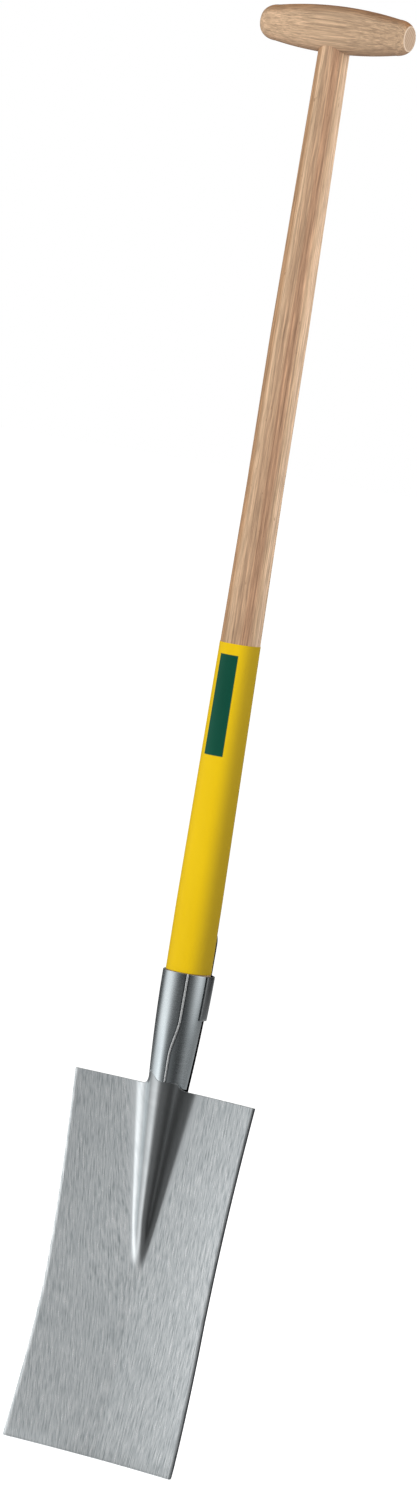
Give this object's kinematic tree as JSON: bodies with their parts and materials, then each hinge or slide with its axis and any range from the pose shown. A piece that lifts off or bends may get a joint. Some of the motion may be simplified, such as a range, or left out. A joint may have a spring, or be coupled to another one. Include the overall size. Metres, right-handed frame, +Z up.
{
  "type": "trenching spade",
  "caption": "Trenching spade with a long dished steel blade, a pressed dome, a strapped socket, a tapered ash shaft with a film sleeve and a turned cross grip.",
  "frame": {"origin": "middle of the cutting edge, in the plane of that edge", "axes": "+Z up along the shaft towards the grip, -Y out of the blade's hollow front face, +X along the grip to the right seen from the front"},
  "size_m": [0.1662, 0.0682, 1.1726],
  "materials": {
    "blade_steel": "satin, brushed along the blade",
    "socket_steel": "smooth, semi-gloss",
    "strap_steel": "dark mill scale",
    "screw_steel": "zinc plated, dull",
    "shaft_ash": "sanded ash, long grain, thin varnish",
    "grip_ash": "turned ash, end grain at the ends",
    "sleeve_film": "yellow film, semi-gloss"
  },
  "bodies": {
    "root": {"blade": "blade_steel", "socket": "socket_steel", "collar": "socket_steel", "back_strap": "strap_steel", "strap_screws": "screw_steel", "shaft": "shaft_ash", "sleeve": "sleeve_film", "grip": "grip_ash", "grip_pin": "screw_steel"}
  },
  "joints": []
}
